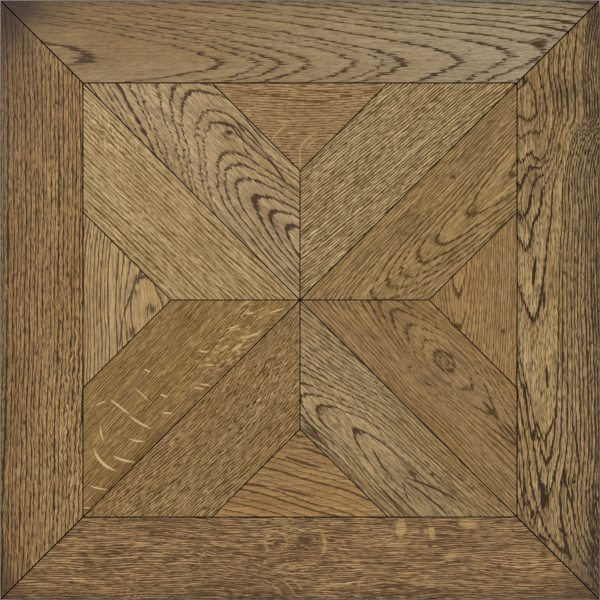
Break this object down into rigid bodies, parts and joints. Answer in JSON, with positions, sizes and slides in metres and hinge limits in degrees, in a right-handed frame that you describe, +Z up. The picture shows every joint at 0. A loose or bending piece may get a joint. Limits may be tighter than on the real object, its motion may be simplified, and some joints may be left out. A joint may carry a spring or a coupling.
{
  "type": "parquet block",
  "caption": "Square parquet floor block with mitred oak border staves round a diagonal cross of paired staves and triangles, on a grooved plywood base.",
  "frame": {"origin": "centre of the plywood's underside, on the floor", "axes": "+Z up through the oak face, +Y towards the top of the pattern in the picture, +X to its right"},
  "size_m": [0.6, 0.6, 0.016],
  "materials": {
    "oak_border": "brushed, stained and oiled oak, matt",
    "oak_cross": "brushed, stained and oiled oak, matt",
    "oak_infill": "brushed, stained and oiled oak, matt",
    "birch_plywood": "sanded birch plywood, unfinished"
  },
  "bodies": {
    "root": {"plywood_base": "birch_plywood", "border_stave_south": "oak_border", "border_stave_east": "oak_border", "border_stave_north": "oak_border", "border_stave_west": "oak_border", "cross_stave_ne_north": "oak_cross", "cross_stave_ne_east": "oak_cross", "cross_stave_nw_west": "oak_cross", "cross_stave_nw_north": "oak_cross", "cross_stave_sw_south": "oak_cross", "cross_stave_sw_west": "oak_cross", "cross_stave_se_east": "oak_cross", "cross_stave_se_south": "oak_cross", "infill_triangle_south": "oak_infill", "infill_triangle_east": "oak_infill", "infill_triangle_north": "oak_infill", "infill_triangle_west": "oak_infill"}
  },
  "joints": []
}
